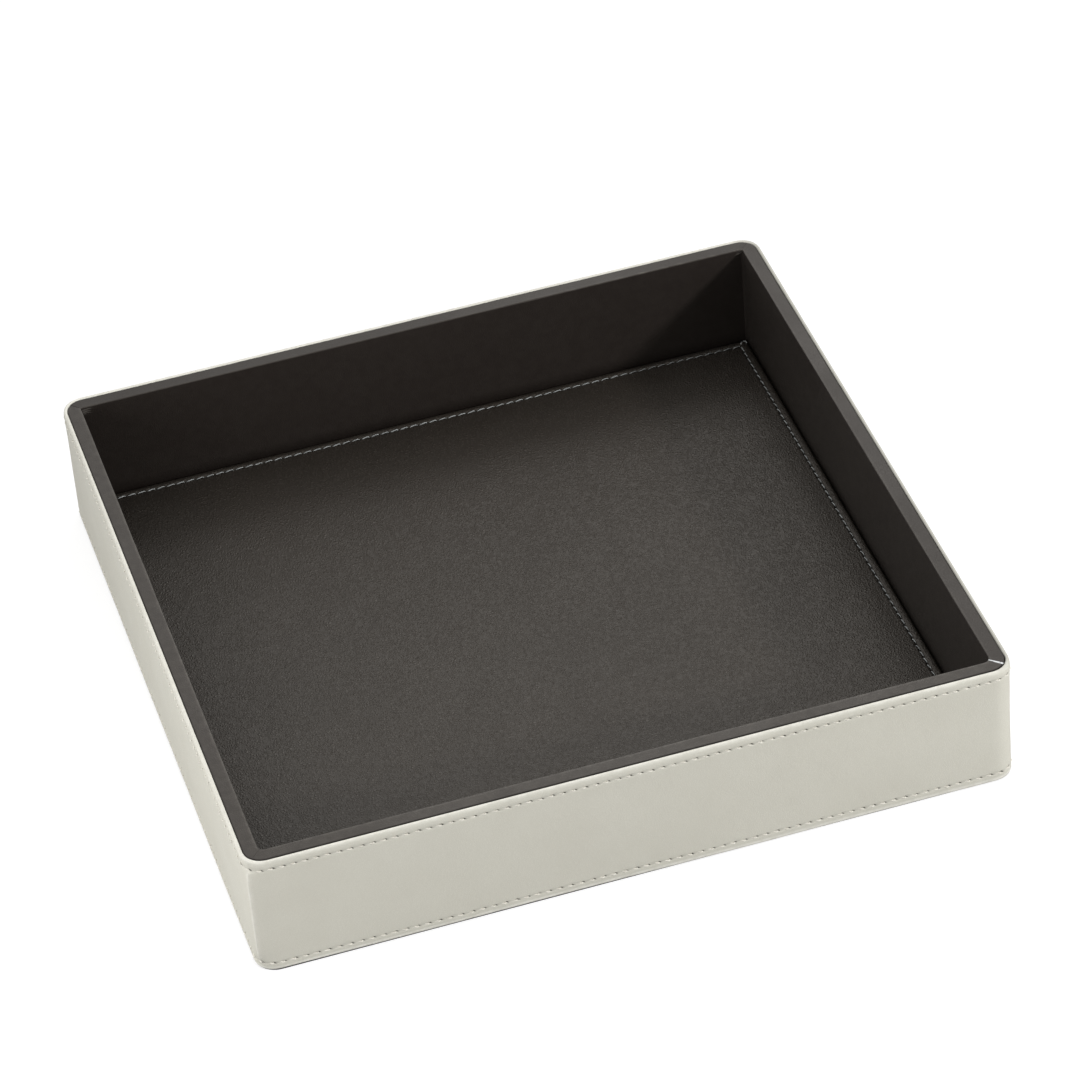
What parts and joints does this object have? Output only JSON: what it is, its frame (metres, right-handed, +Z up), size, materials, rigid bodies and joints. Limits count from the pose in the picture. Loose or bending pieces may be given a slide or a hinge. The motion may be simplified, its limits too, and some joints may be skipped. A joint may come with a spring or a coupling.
{
  "type": "leather valet tray",
  "caption": "Shallow square tray with board walls, a dark leather lining folded over the rim, a sewn pale leather band outside and a sewn padded leather floor.",
  "frame": {"origin": "centre of the underside", "axes": "+X to the right along the front wall, +Y from the front to the rear, +Z up"},
  "size_m": [0.2104, 0.2104, 0.038],
  "materials": {
    "board": "raw grey fibreboard",
    "lining_leather": "smooth, satin, dark warm grey",
    "card": "raw grey card",
    "foam": "thin open foam",
    "floor_leather": "fine grain, satin, dark grey brown",
    "grey_thread": "twisted thread with a slight sheen",
    "stiffener": "bonded fibre",
    "pale_leather": "fine smooth grain, satin, pale warm grey",
    "pale_thread": "twisted thread, cream",
    "underside_sheet": "dark bonded leather sheet"
  },
  "bodies": {
    "root": {"base_board": "board", "front_wall_board": "board", "right_wall_board": "board", "rear_wall_board": "board", "left_wall_board": "board", "front_wall_lining": "lining_leather", "right_wall_lining": "lining_leather", "rear_wall_lining": "lining_leather", "left_wall_lining": "lining_leather", "floor_pad_card": "card", "floor_pad_foam": "foam", "floor_pad_leather": "floor_leather", "floor_pad_stitching": "grey_thread", "band_stiffener": "stiffener", "outer_leather_band": "pale_leather", "top_stitching": "pale_thread", "bottom_stitching": "pale_thread", "underside_cover": "underside_sheet"}
  },
  "joints": []
}
